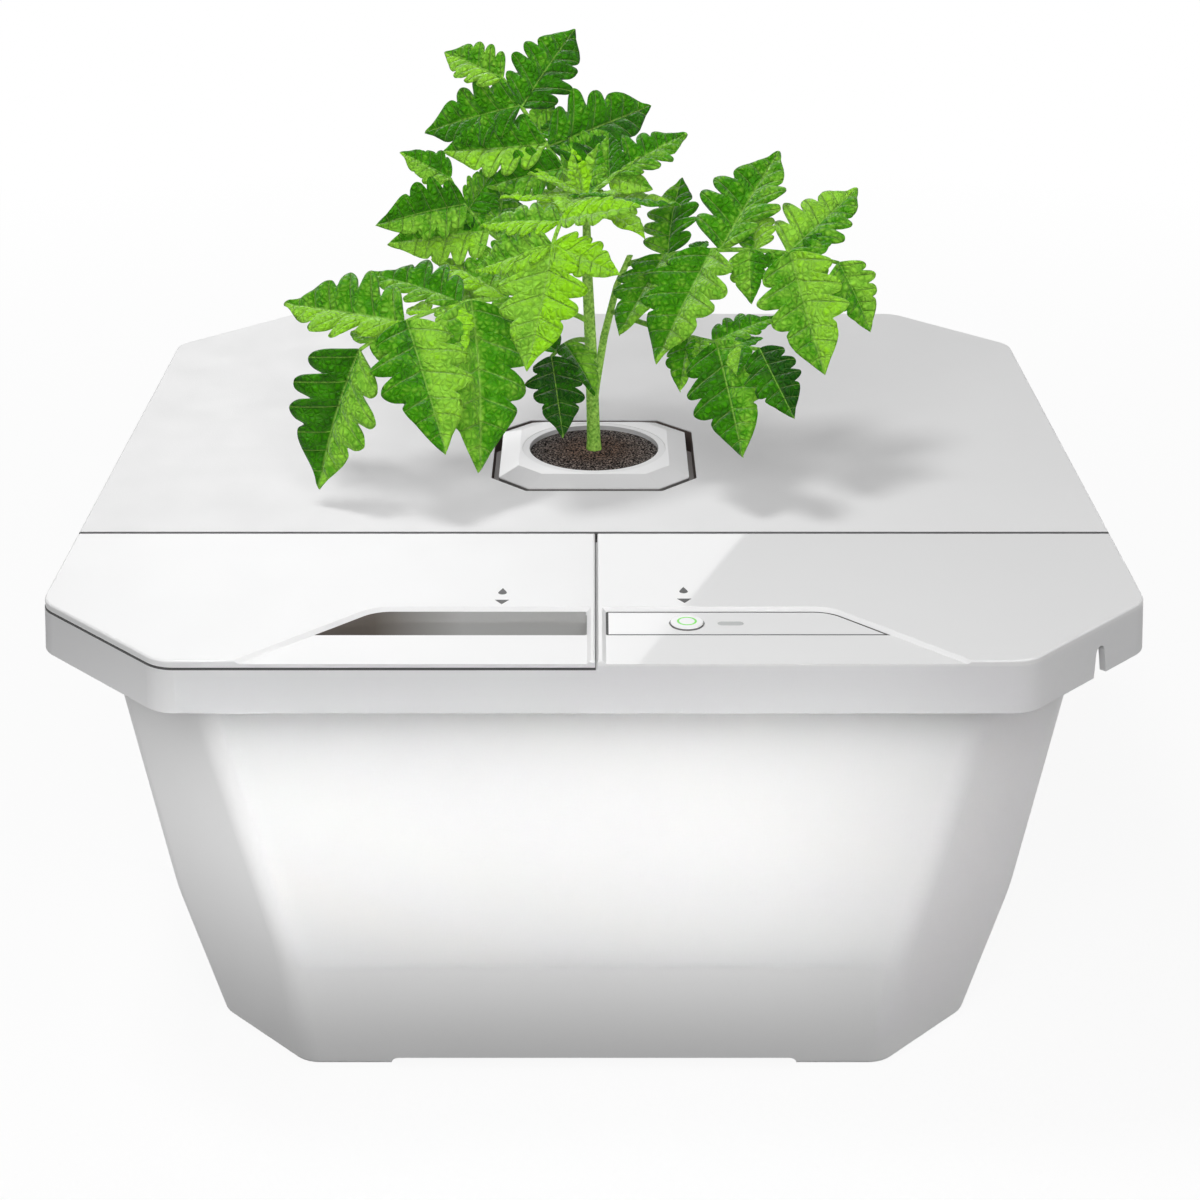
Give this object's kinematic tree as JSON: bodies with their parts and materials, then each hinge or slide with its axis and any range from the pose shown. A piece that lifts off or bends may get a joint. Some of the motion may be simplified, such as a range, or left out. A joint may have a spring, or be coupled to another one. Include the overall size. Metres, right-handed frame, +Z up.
{
  "type": "hydroponic planter",
  "caption": "Octagonal table-top water-culture planter: tapered tub, lift-off lid holding a net pot with a young plant, lift-off fill cover with a slot, and a control deck with a drain button.",
  "frame": {"origin": "on the floor under the middle of the tub", "axes": "+Z up; the front, with the fill cover and the control deck, faces -Y; +X is to the right seen from the front"},
  "size_m": [0.3828, 0.3828, 0.3551],
  "materials": {
    "tub_white": "moulded white plastic, soft gloss",
    "deck_white": "polished white plastic",
    "lid_white": "satin white plastic with a fine moulded grain",
    "cover_white": "smooth satin white plastic",
    "black_rubber": "moulded black rubber",
    "glow_green": "lit green light guide",
    "lens_grey": "unlit grey light window",
    "inner_black": "moulded black plastic",
    "inner_grey": "moulded grey plastic",
    "steel": "plain stainless steel",
    "board_green": "coated circuit board",
    "clear_hose": "milky soft hose",
    "air_stone": "sintered porous stone",
    "coir": "damp loose coir and peat",
    "plant_stem": "fresh green stem",
    "plant_leaf": "fresh green leaf, soft sheen"
  },
  "bodies": {
    "tub": {"reservoir": "tub_white", "rim_frame": "deck_white", "control_panel": "deck_white", "panel_seal": "black_rubber", "status_light": "lens_grey", "tact_switch": "inner_black", "control_housing": "inner_grey", "housing_gasket": "black_rubber", "housing_screws": "steel", "circuit_board": "board_green", "power_jack": "inner_black", "air_pump": "inner_grey", "air_line": "clear_hose", "air_stone": "air_stone", "pump_body": "inner_black", "pump_cover": "inner_black", "pump_shaft": "steel", "pump_feet": "black_rubber", "drain_hose": "clear_hose", "hose_nozzle": "inner_grey"},
    "rear_lid": {"rear_lid": "lid_white"},
    "pot": {"pot_collar": "cover_white", "net_pot": "inner_black", "growing_medium": "coir", "plant_stem": "plant_stem", "leaf_upper_left": "plant_leaf", "leaf_left_rear": "plant_leaf", "leaf_left_front": "plant_leaf", "leaf_front": "plant_leaf", "leaf_crown": "plant_leaf", "leaf_upper_right": "plant_leaf", "leaf_right": "plant_leaf", "leaf_right_front": "plant_leaf"},
    "fill_cover": {"fill_cover": "cover_white"},
    "drain_button": {"button_cap": "deck_white", "button_glow": "glow_green", "switch_plunger": "inner_black"},
    "impeller": {"pump_impeller": "inner_grey"}
  },
  "joints": [
    {"name": "rear_lid_lift", "type": "slide", "parent": "tub", "child": "rear_lid", "axis": [0, 0, 1], "range_m": [0, 0.12]},
    {"name": "pot_lift", "type": "slide", "parent": "rear_lid", "child": "pot", "axis": [0, 0, 1], "range_m": [0, 0.09]},
    {"name": "fill_cover_lift", "type": "slide", "parent": "tub", "child": "fill_cover", "axis": [0, 0, 1], "range_m": [0, 0.06]},
    {"name": "drain_button_press", "type": "slide", "parent": "tub", "child": "drain_button", "axis": [0, 0, -1], "range_m": [0, 0.0008], "stiffness_N_per_m": 1200, "springref_m": -0.0005},
    {"name": "impeller_spin", "type": "hinge", "parent": "tub", "child": "impeller", "pos_m": [0.075, -0.112, 0.0263], "axis": [0, 1, 0], "continuous": true}
  ]
}
